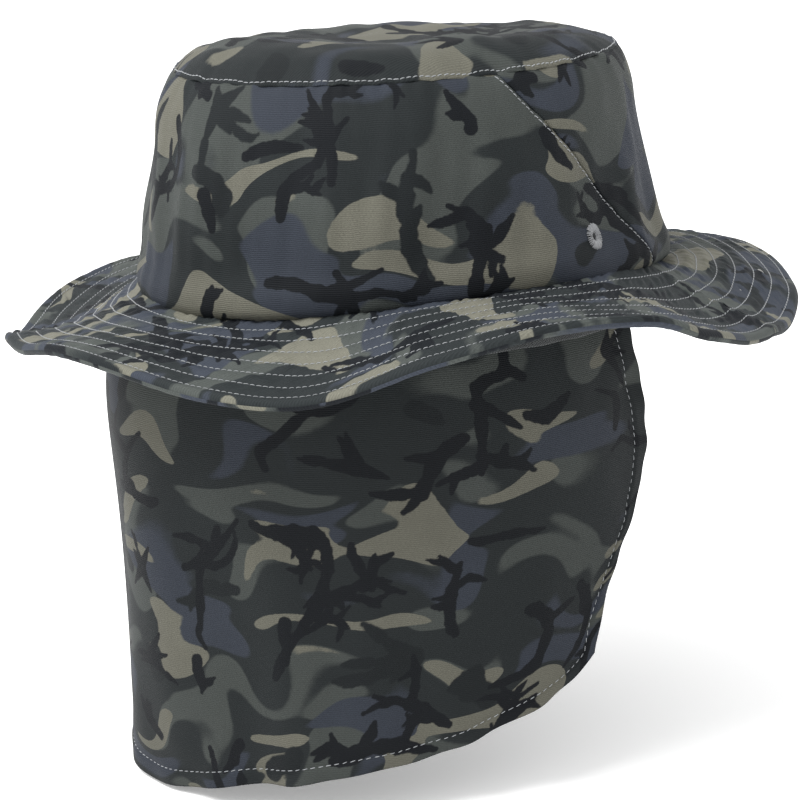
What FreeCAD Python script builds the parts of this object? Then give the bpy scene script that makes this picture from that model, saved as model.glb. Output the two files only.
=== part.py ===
"""Soft sun hat with a quilted brim and a neck cape, as its sewn pieces.

Frame: +X is the front of the hat, +Y the wearer's left, +Z up, in millimetres.
The origin is the centre of the head opening, level with the seam between crown and brim.
A place around the hat is given by the angle round its oval, counted from the front.
"""
import FreeCAD, Part
import math
import os
from FreeCAD import Vector

# Oval of the crown where it meets the brim, measured outside the cloth
HALF_LENGTH = 101.0
HALF_WIDTH = 84.0
SEAM_WAVE = 3.0             # the brim seam dips this much at front and back, and rises at the sides

# Crown
TIP_SEAM_HEIGHT = 77.0
WALL_LEAN_DEG = 9.5
SHOULDER_START = 58.0       # height where the wall starts to round in under the tip seam
SHOULDER_INSET = 5.0
# Tip: (share of the way in from its seam to its middle, rise above the seam)
TIP_DOME = ((0.0, 0.0), (0.06, 5.5), (0.14, 9.8), (0.25, 12.6),
            (0.36, 13.0), (0.52, 10.8), (0.72, 8.2), (1.0, 7.2))
TIP_HALF_SPAN = 70.0        # from the tip's seam to its middle, on average
TIP_HUB = 0.96              # the rings of the dome stop at this share, and a flat cap closes it
CROWN_CLOTH = 0.8
SEAM_GAP = 0.2              # space left between two pieces sewn edge to edge
SEAM_MARGIN = 0.01          # share of the wall left free at the end of a thread or a tape
PANEL_TOP = 0.985           # rise at which the panels stop, under the edge of the tip
SIDE_SEAM_FOOT_DEG = 49.0   # where the diagonal side seam starts at the brim
SIDE_SEAM_TURN_DEG = 41.0   # how far round it runs on its way up to the tip
SIDE_SEAM_BOW = 0.05

# Tapes, sweatband and topstitching
TAPE_THICK = 0.5
TAPE_WIDTH = 10.0
TAPE_DEPTH = 1.1            # from the crown's outer face to the tape's outer face
SWEATBAND_THICK = 1.2
SWEATBAND_DEPTH = 1.8
SWEATBAND_HEIGHT = 32.0
THREAD_WIDTH = 0.6
THREAD_THICK = 0.35
THREAD_LIFT = 0.15          # air between a thread and the cloth that it lies on
TOPSTITCH_INSET = 2.0
TIP_STITCH_SHARE = 0.012    # where the tip's topstitch runs, as a share of the way in
TAPE_FOOT_RISE = 0.03       # the side tapes start just above the brim seam

# Embroidered eyelets
EYELET_ANGLE_DEG = 70.0
EYELET_HEIGHT = 16.0
EYELET_BORE_RADIUS = 1.5
EYELET_BARREL_RADIUS = 2.1
EYELET_RADIUS = 4.4
EYELET_LIP = 0.6
EYELET_BACK_INSET = 0.6     # the inner lip is this much smaller round
EYELET_CLEARANCE = 0.1
EYELET_SEAT = 0.25          # from the cloth's face to the lip

# Brim. Its soft waves are given as (angle round the hat, droop below level), both in degrees
BRIM_WIDTH = 48.0
ROOT_DROOP = ((0, -4), (25, 6), (45, 16), (90, 31), (125, 39), (146, 45), (165, 28), (185, 13), (200, 11),
              (214, 16), (228, 27), (245, 8), (262, 2), (280, 15), (300, 36), (312, 33), (326, 16), (342, 1))
EDGE_DROOP = ((0, 19), (25, 18), (45, 18), (90, 9), (125, -9), (146, 0), (165, -2), (185, -2), (200, 3),
              (214, 15), (228, 13), (245, 11), (262, 4), (278, -2), (300, 12), (312, 15), (326, 26),
              (342, 27))
BRIM_CLOTH = 0.6
BRIM_CORE = 2.2
BRIM_GAP = 0.2
BRIM_CORE_MARGIN = 1.5
BRIM_ROOT = 0.6             # the brim starts this far outside the crown's foot
STITCH_ROWS = 7
FIRST_ROW = 2.4
ROW_PITCH = 6.95

# Neck cape
CAPE_CLOTH = 1.0
CAPE_TOP = 6.0              # depth of its sewn edge under the brim seam
BINDING_FOOT = 22.0
CAPE_START = 22.5
CAPE_HEM = ((-0.3, 166.0), (0.0, 174.0), (0.3, 166.0), (0.5, 160.0), (0.7, 153.5), (0.85, 143.5),
            (0.94, 136.0), (1.0, 128.5))    # (share of the way to a front edge, depth of the hem)
CAPE_SPAN = ((0.0, 111.0), (0.15, 112.5), (0.25, 115.0), (0.35, 118.0), (0.47, 118.5), (0.6, 116.0),
             (0.75, 110.0), (0.88, 105.0), (1.0, 101.0))    # (share of the way down, half its span in degrees)
CAPE_BACK_LENGTH = 174.0
CAPE_FLARE = 7.0
CAPE_FLARE_DEPTH = 14.0
CAPE_LEAN = 0.01            # it widens this much on its way down
CAPE_BULGE = 9.0            # it stands out further at one place, and less so lower down
CAPE_BULGE_DEG = 150.0
CAPE_BULGE_WIDTH_DEG = 28.0
CAPE_BULGE_DEPTH = 66.0
HEM_INSET = 5.0

BRIM_PLACES = 181           # places round the hat at which the brim's soft waves are set out
FRONT_PLY_PLACES = 60       # the same for the short front half of a brim ply
BACK_PLY_PLACES = 151       # the same for the long back half
BRIM_STEPS = 19             # and places out across it
PATCH_PLACES = 31           # the most places along a curved surface, which is made of several patches


def outward(angle):
    """Unit vector square to the oval at this angle round it."""
    direction = Vector(HALF_WIDTH * math.cos(angle), HALF_LENGTH * math.sin(angle), 0)
    return direction.normalize()


def oval(angle, grow, height):
    """Point on the oval, grown outwards by a distance, at a height."""
    foot = Vector(HALF_LENGTH * math.cos(angle), HALF_WIDTH * math.sin(angle), height)
    return foot + outward(angle) * grow


def seam_height(angle):
    return -SEAM_WAVE * math.cos(2 * angle)


def wall_inset(height):
    """How far the crown's wall has leaned in at this height."""
    shoulder = max(0.0, height - SHOULDER_START) / (TIP_SEAM_HEIGHT - SHOULDER_START)
    return max(0.0, height) * math.tan(math.radians(WALL_LEAN_DEG)) + SHOULDER_INSET * shoulder ** 2


def crown_point(angle, height, depth):
    return oval(angle, -wall_inset(height) - depth, height)


def wall_height(angle, rise):
    """Height on the crown's wall: rise 0 is the brim seam and 1 is the tip seam."""
    foot = seam_height(angle)
    return foot + (TIP_SEAM_HEIGHT - foot) * rise


def side_seam(rise):
    """Angle of the left diagonal seam at a rise up the wall."""
    turn = SIDE_SEAM_TURN_DEG * rise * (1 - SIDE_SEAM_BOW + SIDE_SEAM_BOW * rise)
    return math.radians(SIDE_SEAM_FOOT_DEG + turn)


def across(angle, height, distance):
    """The angle that a distance along the oval spans at this height."""
    inset = wall_inset(height)
    step = Vector((HALF_LENGTH - inset) * math.sin(angle), (HALF_WIDTH - inset) * math.cos(angle), 0)
    return distance / step.Length


def smooth_between(before, start, end, after, place):
    """Smooth value at a place between two of four (place, value) stations in a row."""
    span = end[0] - start[0]
    slope_in = (end[1] - before[1]) / (end[0] - before[0]) * span
    slope_out = (after[1] - start[1]) / (after[0] - start[0]) * span
    t = (place - start[0]) / span
    return ((2 * t ** 3 - 3 * t ** 2 + 1) * start[1] + (t ** 3 - 2 * t ** 2 + t) * slope_in
            + (3 * t ** 2 - 2 * t ** 3) * end[1] + (t ** 3 - t ** 2) * slope_out)


def smooth_around(stations, angle):
    """Value at an angle, smooth through stations of (angle in degrees, value) round the hat."""
    degrees = math.degrees(angle) % 360.0
    count = len(stations)
    index = max(i for i in range(count) if stations[i][0] <= degrees)

    def station(i):
        turn, place = divmod(i, count)
        return stations[place][0] + 360.0 * turn, stations[place][1]

    return smooth_between(*[station(index + k) for k in (-1, 0, 1, 2)], degrees)


def smooth_along(stations, place):
    """Value at a place, smooth through stations of (place, value)."""
    last = len(stations) - 1
    index = max(i for i in range(last) if stations[i][0] <= place)
    return smooth_between(*[stations[min(max(index + k, 0), last)] for k in (-1, 0, 1, 2)], place)


def tip_point(angle, share, height):
    """Point on the tip's dome, lifted to a height above the tip seam where it meets the wall."""
    foot = crown_point(angle, TIP_SEAM_HEIGHT, 0)
    rise = height + smooth_along(TIP_DOME, share)
    return Vector(foot.x * (1 - share), foot.y * (1 - share), TIP_SEAM_HEIGHT + rise)


def brim_point(angle, distance, depth):
    """Point on the brim at a distance out from the crown, at a depth under its top face."""
    root, edge = smooth_around(ROOT_DROOP, angle), smooth_around(EDGE_DROOP, angle)
    slope = math.radians(root + (edge - root) * distance / BRIM_WIDTH / 2)
    height = seam_height(angle) - distance * math.sin(slope)
    return oval(angle, BRIM_ROOT + distance * math.cos(slope), height - depth)


def cape_point(side, fall, depth):
    """Point on the cape: side -1 to 1 is right edge to left edge, fall 0 to 1 is top to hem."""
    degrees = 180.0 - side * smooth_along(CAPE_SPAN, fall)
    angle = math.radians(degrees)
    top = seam_height(angle) - CAPE_TOP
    below = (top + smooth_along(CAPE_HEM, abs(side))) * fall
    loose = 1 - math.exp(-below / CAPE_FLARE_DEPTH)
    bulge = ((degrees - CAPE_BULGE_DEG) / CAPE_BULGE_WIDTH_DEG) ** 2 + (below / CAPE_BULGE_DEPTH) ** 2
    flare = (CAPE_FLARE + CAPE_BULGE * math.exp(-bulge)) * loose + CAPE_LEAN * below
    return oval(angle, flare - depth, top - below)


def spread(start, end, count):
    return [start + (end - start) * i / (count - 1) for i in range(count)]


def surface(point, across_values, along_values, depth):
    grid = [[point(a, b, depth) for b in along_values] for a in across_values]
    face = Part.BSplineSurface()
    face.interpolate(grid)
    return face


def edge_at(face, direction, end):
    """The boundary curve of a surface: direction 'u' or 'v', at its first (0) or last (1) end."""
    low_u, high_u, low_v, high_v = face.bounds()
    if direction == "u":
        return face.uIso((low_u, high_u)[end]).toShape()
    return face.vIso((low_v, high_v)[end]).toShape()


def wall(top, bottom, direction, end):
    return Part.makeRuledSurface(edge_at(top, direction, end), edge_at(bottom, direction, end))


def solid_from(faces):
    shell = Part.makeShell(faces)
    shell.sewShape()
    solid = Part.makeSolid(shell)
    if solid.Volume < 0:
        solid.reverse()
    return solid


def patches(values):
    """Runs of values that share their ends, each short enough for one surface."""
    step = PATCH_PLACES - 1
    return [values[start:start + step + 1] for start in range(0, len(values) - 1, step)]


def sheet(point, across_values, along_values, outer, inner, closed=False, capped=False):
    """Closed solid of cloth between two depths under a surface.

    It may close on itself round the hat, and a cap may close its far end in the middle of the hat.
    """
    faces = []
    lids = {"top": [], "bottom": []}
    runs = patches(across_values)
    for run in runs:
        top = surface(point, run, along_values, outer)
        bottom = surface(point, run, along_values, inner)
        faces += [top.toShape(), bottom.toShape(), wall(top, bottom, "v", 0)]
        if capped:
            lids["top"].append(edge_at(top, "v", 1))
            lids["bottom"].append(edge_at(bottom, "v", 1))
        else:
            faces.append(wall(top, bottom, "v", 1))
        if run is runs[0] and not closed:
            faces.append(wall(top, bottom, "u", 0))
        if run is runs[-1] and not closed:
            faces.append(wall(top, bottom, "u", 1))
    if capped:
        faces += [Part.Face(Part.Wire(edges)) for edges in lids.values()]
    return solid_from(faces)


def ring(point, along_values, outer, inner, capped=False, places=121):
    """Closed solid of cloth that runs all the way round the hat."""
    angles = spread(0, 2 * math.pi, places)
    return sheet(point, angles, along_values, outer, inner, closed=True, capped=capped)


def save(name, shape):
    if not shape.isValid():
        raise ValueError(name + " is not a valid solid")
    for solid in shape.Solids:
        if solid.Volume <= 0:
            raise ValueError(name + " has no volume")
    shape.exportStep("parts/" + name + ".step")
    box = shape.BoundBox
    print(f"{name:28s} {len(shape.Solids)} solid(s) {shape.Volume / 1000:8.2f} cm3"
          f"  z {box.ZMin:7.1f} to {box.ZMax:6.1f}")


def make_crown_tip():
    def point(angle, place, depth):
        return tip_point(angle, TIP_HUB * place, SEAM_GAP + CROWN_CLOTH - depth)

    return ring(point, spread(0, 1, 49), 0, CROWN_CLOTH, capped=True)


def make_crown_panel(front):
    """Front panel between the two diagonal seams, or the back panel that closes the oval."""
    def point(side, rise, depth):
        height = wall_height(0, rise)
        seam = side_seam(rise)
        margin = across(seam, height, SEAM_GAP / 2)
        if front:
            angle = side * (seam - margin)
        else:
            angle = math.pi - side * (math.pi - seam - margin)
        return crown_point(angle, wall_height(angle, rise), depth)

    return sheet(point, spread(-1, 1, 61), spread(0, PANEL_TOP, 25), 0, CROWN_CLOTH)


def make_side_strip(left, start, width, outer, inner, low, high):
    """Strip that follows a diagonal seam, starting a distance behind it."""
    def point(share, rise, depth):
        seam = side_seam(rise)
        height = wall_height(seam, rise)
        angle = seam + across(seam, height, start + width * share)
        return crown_point(angle if left else -angle, height, depth)

    return sheet(point, spread(0, 1, 3), spread(low, high, 25), outer, inner)


def make_wall_band(low, high, outer, inner):
    """Band round the inside of the crown between two rises."""
    def point(angle, rise, depth):
        return crown_point(angle, wall_height(angle, rise), depth)

    return ring(point, spread(low, high, 9), outer, inner)


def make_tip_topstitch():
    """Thread on the dome, just above the tip seam."""
    def point(angle, share, depth):
        place = TIP_STITCH_SHARE + share * THREAD_WIDTH / TIP_HALF_SPAN
        return tip_point(angle, place, SEAM_GAP + CROWN_CLOTH) - outward(angle) * depth

    lift = 2 * THREAD_LIFT
    return ring(point, spread(0, 1, 5), -THREAD_THICK - lift, -lift)


def eyelet_placement(left):
    angle = math.radians(EYELET_ANGLE_DEG if left else -EYELET_ANGLE_DEG)
    centre = crown_point(angle, EYELET_HEIGHT, 0)
    lean = math.radians(WALL_LEAN_DEG)
    axis = outward(angle) * math.cos(lean) + Vector(0, 0, math.sin(lean))
    return centre, axis


def make_eyelet(left):
    """Ring of thread with a lip on both faces of the cloth and a barrel through it."""
    centre, axis = eyelet_placement(left)
    half = CROWN_CLOTH / 2 + EYELET_SEAT
    middle = centre - axis * (CROWN_CLOTH / 2)

    def disc(radius, start, length):
        return Part.makeCylinder(radius, length, middle + axis * start, axis)

    body = disc(EYELET_BARREL_RADIUS, -half, 2 * half)
    body = body.fuse(disc(EYELET_RADIUS, half, EYELET_LIP))
    body = body.fuse(disc(EYELET_RADIUS - EYELET_BACK_INSET, -half - EYELET_LIP / 2, EYELET_LIP / 2))
    reach = half + EYELET_LIP + 1
    return body.cut(disc(EYELET_BORE_RADIUS, -reach, 2 * reach)).removeSplitter()


def pierce_for_eyelets(panel):
    radius = EYELET_BARREL_RADIUS + EYELET_CLEARANCE
    reach = EYELET_RADIUS
    for left in (True, False):
        centre, axis = eyelet_placement(left)
        panel = panel.cut(Part.makeCylinder(radius, 2 * reach, centre - axis * reach, axis))
    return panel


def make_brim_ply(front, outer, inner):
    """Half of a brim ply: its radial seams are in line with the feet of the crown's side seams."""
    seam = side_seam(0)
    margin = SEAM_GAP / 2 / HALF_WIDTH
    if front:
        angles = spread(-seam + margin, seam - margin, FRONT_PLY_PLACES)
    else:
        angles = spread(seam + margin, 2 * math.pi - seam - margin, BACK_PLY_PLACES)
    return sheet(brim_point, angles, spread(0, BRIM_WIDTH, BRIM_STEPS), outer, inner)


def make_cape_piece(start, foot):
    """Part of the cape's cloth between two depths under its sewn edge, or down to its hem."""
    def point(side, share, depth):
        top = start / CAPE_BACK_LENGTH
        end = foot / CAPE_BACK_LENGTH if foot else 1.0
        return cape_point(side, top + (end - top) * share, depth)

    return sheet(point, spread(-1, 1, PATCH_PLACES), spread(0, 1, 11), 0, CAPE_CLOTH)


def make_hem_stitch():
    """Thread along the hem and up both front edges, on the cape's outer face."""
    hem_fall = 1 - HEM_INSET / CAPE_BACK_LENGTH
    width_fall = THREAD_WIDTH / CAPE_BACK_LENGTH
    half_width = math.radians(CAPE_SPAN[0][1]) * HALF_LENGTH
    edge_side = 1 - HEM_INSET / half_width
    width_side = THREAD_WIDTH / half_width
    top_fall = CAPE_START / CAPE_BACK_LENGTH
    lift = -THREAD_LIFT - THREAD_THICK

    sides = spread(-edge_side, edge_side, PATCH_PLACES)
    threads = [sheet(cape_point, sides, spread(hem_fall - width_fall, hem_fall, 2), lift, -THREAD_LIFT)]
    for end in (-1, 1):
        sides = spread(end * (edge_side - width_side), end * edge_side, 2)
        falls = spread(top_fall, hem_fall - 2 * width_fall, 13)
        threads.append(sheet(cape_point, sides, falls, lift, -THREAD_LIFT))
    return Part.makeCompound(threads)


def main():
    os.makedirs("parts", exist_ok=True)
    save("crown_tip", make_crown_tip())
    save("crown_front_panel", make_crown_panel(front=True))
    save("crown_back_panel", pierce_for_eyelets(make_crown_panel(front=False)))
    save("tip_topstitch", make_tip_topstitch())

    tape_foot = TAPE_DEPTH + TAPE_THICK
    tip_tape_low = 1 - TAPE_WIDTH / TIP_SEAM_HEIGHT
    save("tip_seam_tape", make_wall_band(tip_tape_low, PANEL_TOP, TAPE_DEPTH, tape_foot))
    for side, left in (("left", True), ("right", False)):
        save("side_seam_tape_" + side,
             make_side_strip(left, -TAPE_WIDTH / 2, TAPE_WIDTH, TAPE_DEPTH, tape_foot, TAPE_FOOT_RISE,
                             tip_tape_low - SEAM_MARGIN))
        save("side_topstitch_" + side,
             make_side_strip(left, TOPSTITCH_INSET, THREAD_WIDTH, -THREAD_LIFT - THREAD_THICK, -THREAD_LIFT,
                             SEAM_MARGIN, PANEL_TOP - SEAM_MARGIN))
        save("eyelet_" + side, make_eyelet(left))
    save("sweatband", make_wall_band(0.0, SWEATBAND_HEIGHT / TIP_SEAM_HEIGHT, SWEATBAND_DEPTH,
                                     SWEATBAND_DEPTH + SWEATBAND_THICK))

    core_top = BRIM_CLOTH + BRIM_GAP
    core_foot = core_top + BRIM_CORE
    under_top = core_foot + BRIM_GAP
    for name, front in (("front", True), ("back", False)):
        save("brim_top_" + name, make_brim_ply(front, 0, BRIM_CLOTH))
        save("brim_under_" + name, make_brim_ply(front, under_top, under_top + BRIM_CLOTH))
    core_width = spread(0, BRIM_WIDTH - BRIM_CORE_MARGIN, BRIM_STEPS)
    save("brim_stiffener", ring(brim_point, core_width, core_top, core_foot, places=BRIM_PLACES))
    for row in range(STITCH_ROWS):
        start = FIRST_ROW + ROW_PITCH * row
        width = spread(start, start + THREAD_WIDTH, 3)
        save(f"brim_stitch_row_{row + 1}",
             ring(brim_point, width, -THREAD_LIFT - THREAD_THICK, -THREAD_LIFT, places=BRIM_PLACES))

    save("cape_top_binding", make_cape_piece(0, BINDING_FOOT - CAPE_TOP))
    save("neck_cape", make_cape_piece(CAPE_START - CAPE_TOP, None))
    save("cape_hem_stitch", make_hem_stitch())


main()
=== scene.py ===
"""Looks of a caped boonie hat: printed cloth, quilted brim, topstitching, eyelets and a hanging neck cape.

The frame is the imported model's: +X is the front, +Y the wearer's left, +Z up. Shapes are worked out in
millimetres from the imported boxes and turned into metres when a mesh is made.
"""
import math

import bpy
import numpy as np
from mathutils import Matrix, Vector


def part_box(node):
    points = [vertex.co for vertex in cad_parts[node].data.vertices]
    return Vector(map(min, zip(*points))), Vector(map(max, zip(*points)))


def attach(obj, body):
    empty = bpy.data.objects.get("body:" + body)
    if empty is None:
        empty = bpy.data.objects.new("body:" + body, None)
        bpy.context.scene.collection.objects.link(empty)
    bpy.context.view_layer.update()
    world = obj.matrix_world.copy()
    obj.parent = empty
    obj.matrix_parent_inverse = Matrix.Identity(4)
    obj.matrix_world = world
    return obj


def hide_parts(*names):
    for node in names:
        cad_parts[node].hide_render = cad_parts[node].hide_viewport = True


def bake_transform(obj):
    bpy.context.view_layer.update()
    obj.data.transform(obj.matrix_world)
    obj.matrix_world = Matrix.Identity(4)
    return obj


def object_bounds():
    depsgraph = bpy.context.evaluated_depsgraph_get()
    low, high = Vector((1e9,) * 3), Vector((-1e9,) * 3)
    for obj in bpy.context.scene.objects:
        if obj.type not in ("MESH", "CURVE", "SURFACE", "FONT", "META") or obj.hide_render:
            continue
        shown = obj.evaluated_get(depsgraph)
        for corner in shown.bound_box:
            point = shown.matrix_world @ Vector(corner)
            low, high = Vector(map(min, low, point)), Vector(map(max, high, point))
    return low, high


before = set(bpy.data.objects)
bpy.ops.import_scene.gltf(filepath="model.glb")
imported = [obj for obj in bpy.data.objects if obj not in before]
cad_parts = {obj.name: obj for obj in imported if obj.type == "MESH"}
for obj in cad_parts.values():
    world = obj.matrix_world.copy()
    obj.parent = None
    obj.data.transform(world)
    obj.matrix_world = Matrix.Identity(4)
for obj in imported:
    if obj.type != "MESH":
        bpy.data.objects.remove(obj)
cad_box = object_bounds()

MM = 0.001
TURN = 2 * math.pi


def mm(value):
    return value / MM


# ---------------------------------------------------------------- sizes, in millimetres
# Angles round the hat are in degrees from the front, and turn towards the wearer's left. A RADIUS turns
# an angle round the hat into a distance along the cloth.

# crown: an oval foot, lower at the front and back than at the sides, and walls that lean in
back_low, back_high = (mm(corner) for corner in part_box("crown_back_panel"))
HALF_LENGTH = -back_low.x
HALF_WIDTH = 84.0
SEAM_WAVE = -back_low.z
TIP_SEAM = back_high.z           # height of the seam between wall and tip
CLOTH = 0.7
CROWN_TUCK = 0.035               # share of the wall's height that runs on into the brim seam
WALL_HEIGHT = 77.0
WALL_LEAN = math.tan(math.radians(9.5))
WALL_RADIUS = 82.0
PRINT_RADIUS = 86.0
SHOULDER_START = 58.0
SHOULDER_INSET = 5.0
SAG_SIDE = (0.87, -0.50, 0.0)    # the soft crown leans away from this side
SAG = 3.8
TUCK = 3.0                       # and is pushed in near its foot on the other side

# tip: its rise above its seam at shares of the way to its middle
DOME = np.array([(0.0, 0.0), (0.06, 5.5), (0.14, 9.8), (0.25, 12.6), (0.36, 13.0), (0.52, 10.8),
                 (0.72, 8.2), (1.0, 7.2)])
DOME_MEAN = 0.62                 # the tip slumps, and more of its rise is left at the wearer's right and back
DOME_TILT = 0.36
DOME_SIDE = (-0.72, -0.69)
DOME_REACH = 70.0                # the tilt is given at this distance from the middle
TIP_REACH = 66.0                 # from the tip's seam to its middle
TIP_STITCH_PLACE = 0.009         # share of the way from its seam to its middle

# diagonal side seams: where they stand at the foot, and how far back they run on their way up
SIDE_SEAM_FOOT = 49.0
SIDE_SEAM_TURN = 41.0
SIDE_SEAM_BOW = 0.05
TOPSTITCH_GAP = 1.5              # behind the side seam

# inside: tape over the crown's seams, and the sweatband
TAPE_WIDTH = 10.0
TAPE_DEPTH = 1.0
TAPE_THICK = 0.45
TAPE_RADIUS = 80.0
BAND_DEPTH = 1.8
BAND_THICK = 1.2
BAND_HEIGHT = 32.0
BAND_RADIUS = 84.0

# eyelets, embroidered behind the side seams
SIDES = {"left": 1.0, "right": -1.0}
EYELET_TURN = 70.0
EYELET_HEIGHT = 16.0
EYELET_HOLE = 1.4
EYELET_WIDE = 0.82               # its threads' reach sideways and upwards, against a round one
EYELET_TALL = 1.12

# brim
BRIM_WIDTH = 48.0
BRIM_ROOT = 0.6                  # its root stands this far out of the crown's foot
BRIM_THICK = 3.4
BRIM_TUCK = 5.0                  # its cloth runs on under the crown's foot
BRIM_PLY = 0.5
BRIM_SEAM_GAP = 0.08
BRIM_SEAM_RADIUS = 95.0
EDGE_ROLL = BRIM_THICK / 2
EDGE_FADE = 1.7                  # the quilting fades over this width at the edge
CORE_START = 3.5
CORE_INSET = 2.0
CORE_DEPTH = 0.7                 # under the brim's faces
CORE_RADIUS = 120.0
QUILT_RADIUS = 110.0
CREASE_TURN = 154.0              # where the brim is folded up into a crease
ROWS = 7
FIRST_ROW = 2.3
ROW_PITCH = 6.98
# the brim's soft waves: (angle round the hat, droop at its root, droop at its edge), in degrees
WAVES = np.array([
    (0, -4.5, 19), (20, 4, 18.5), (45, 15.5, 18), (90, 31, 9), (110, 33, -4.5), (125, 39.5, -9),
    (138, 44.5, -5), (146, 45, 0), (152, 43, 1.5), (158, 37.5, -0.5), (166, 27, -2.5), (175, 19, 1.5),
    (187, 12, -2), (200, 11.5, 2.5), (214, 16.5, 15), (228, 27.5, 13), (245, 8, 11.5), (262, 2, 3.5),
    (278, 14, -2), (290, 22.5, 12), (299, 35.5, 12), (307, 37.5, 12.5), (311, 33.5, 15), (316, 29, 20),
    (324, 19, 25.5), (332, 7, 27.5), (340, 1.5, 27.5), (350, -3, 23)])
# (angle round the hat, how far the brim's root is lifted off the level of its seam)
ROOT_LIFT = np.array([(60, 0), (120, 0), (150, 0.7), (180, 0.9), (215, -2.4), (250, 0.3), (290, 0.4),
                      (325, -2.4)])

# cape: a side of 0 is the middle of the back and 1 a front edge, and its span is in degrees from the back
CAPE_TOP = 6.0                   # its sewn edge is this far below the brim seam
CAPE_LENGTH = 174.0
CAPE_DROP = 0.9                  # about the cape's mean length against its longest
CAPE_REACH = 185.0               # about the way from the middle of the back to a front edge
CAPE_PRINT_REACH = 190.0
# (side, height of the hem below the origin)
CAPE_HEM = np.array([(-0.3, 166), (0.0, 174), (0.3, 166), (0.5, 160), (0.7, 153.5), (0.85, 143.5),
                     (0.94, 136), (1.0, 128.5)])
# (share of the way down, span)
CAPE_SPAN = np.array([(0.0, 112), (0.15, 114), (0.25, 116), (0.35, 117.3), (0.47, 117.6), (0.6, 115),
                      (0.75, 108), (0.88, 103), (1.0, 100)])
CAPE_FLARE = 7.0
CAPE_FLARE_DEPTH = 14.0
CAPE_LEAN = 0.01
CAPE_BULGE = 9.0
CAPE_BULGE_TURN = 150.0
CAPE_BULGE_WIDTH = 28.0
CAPE_BULGE_DEPTH = 66.0
HEM = 5.5                        # width of the turned hem
HEM_THICKNESS = 0.9              # which is this much thicker than the cape
BINDING_WIDTH = 15.0

# cloth and thread
RIB_PITCH = 0.68
WARP_PITCH = 0.42
STITCH_SEED = 900
UNDER_PRINT_SHIFT = 900.0        # the brim's underside is cut from another part of the printed cloth


# ---------------------------------------------------------------- shapes
def unit(vectors):
    return vectors / np.maximum(np.linalg.norm(vectors, axis=-1), 1e-9)[..., None]


def noise(points, wavelength, seed):
    """Smooth random field of about unit size, the same every time, from plane waves near one wavelength."""
    waves = 28
    rng = np.random.default_rng(seed)
    direction = rng.normal(size=(waves, points.shape[-1]))
    direction /= np.linalg.norm(direction, axis=1)[:, None]
    number = TURN / (wavelength * rng.uniform(0.7, 1.5, waves))
    phase = rng.uniform(0, TURN, waves)
    total = np.zeros(points.shape[:-1])
    for d, k, p in zip(direction, number, phase):
        total += np.cos((points @ d) * k + p)
    return total * math.sqrt(2.0 / waves)


def outward(turn):
    """Horizontal unit vector square to the oval."""
    return unit(np.stack([HALF_WIDTH * np.cos(turn), HALF_LENGTH * np.sin(turn), 0 * turn], -1))


def oval(turn, grow, height):
    """Point at a height on the crown's oval foot, grown outwards."""
    foot = np.stack([HALF_LENGTH * np.cos(turn), HALF_WIDTH * np.sin(turn), height + 0 * turn], -1)
    return foot + outward(turn) * np.asarray(grow)[..., None]


def seam_height(turn):
    """Height of the brim seam."""
    return -SEAM_WAVE * np.cos(2 * turn)


def near(value, centre, width):
    """A smooth bump, 1 at the centre."""
    return np.exp(-((value - centre) / width) ** 2)


def angle_off(turn, degrees):
    """Signed angle in degrees from a direction round the hat."""
    return (np.degrees(turn) - degrees + 180.0) % 360.0 - 180.0


def wall_inset(height):
    """How far the crown's wall has come in at a height."""
    above = np.maximum(height, 0.0)
    shoulder = np.maximum(height - SHOULDER_START, 0.0) / (TIP_SEAM - SHOULDER_START)
    return above * WALL_LEAN + SHOULDER_INSET * shoulder ** 2


def side_seam(rise):
    """Angle of the left diagonal seam at a rise up the wall."""
    return np.radians(SIDE_SEAM_FOOT + SIDE_SEAM_TURN * rise * (1 - SIDE_SEAM_BOW + SIDE_SEAM_BOW * rise))


def from_side_seam(turn, rise):
    """Distance along the wall from the nearest diagonal seam, positive behind it."""
    around = np.abs((turn + math.pi) % TURN - math.pi)
    return (around - side_seam(rise)) * WALL_RADIUS


def dents(turn, rise, height):
    """How far the soft crown stands out from its plain shape."""
    spot = oval(turn, 0.0, height)
    upright = spot * np.array([1.0, 1.0, 0.35])

    # hollows and folds, which fade where the seams hold the cloth
    free = np.sin(math.pi * np.clip(rise * 0.9 + 0.08, 0, 1))
    out = 1.1 * noise(spot, 75.0, 3) * free
    out += 1.0 * noise(upright, 30.0, 5) * free
    out += 0.25 * noise(upright, 11.0, 7) * free

    # a roll over the brim seam, and puckers under the tip seam
    above_foot = height - seam_height(turn)
    below_tip = TIP_SEAM - height
    out += 0.9 * near(above_foot, 7.0, 5.0) - 1.3 * np.exp(-above_foot / 1.6)
    out += 0.3 * noise(upright, 8.0, 11) * np.exp(-below_tip / 6.0)
    out -= 1.0 * np.exp(-below_tip / 1.2)

    # the lean of the whole crown
    sideways = outward(turn) @ np.array(SAG_SIDE)
    out -= SAG * np.sin(math.pi * np.clip(rise, 0, 1)) * np.clip(sideways, 0, 1) ** 1.5
    out -= TUCK * near(rise, 0.12, 0.2) * np.clip(-sideways, 0, 1) ** 2

    # a groove along each side seam, with puckers beside it
    beside = np.abs(from_side_seam(turn, rise))
    out -= 0.75 * np.exp(-beside / 0.9)
    out += 0.2 * noise(spot, 6.5, 13) * np.exp(-beside / 6.0)
    return out


def wall(turn, rise, depth):
    """Point on the crown's wall: rise 0 is the brim seam and 1 is the tip seam."""
    foot = seam_height(turn)
    height = foot + (TIP_SEAM - foot) * rise
    return oval(turn, dents(turn, rise, height) - wall_inset(height) - depth, height)


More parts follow.
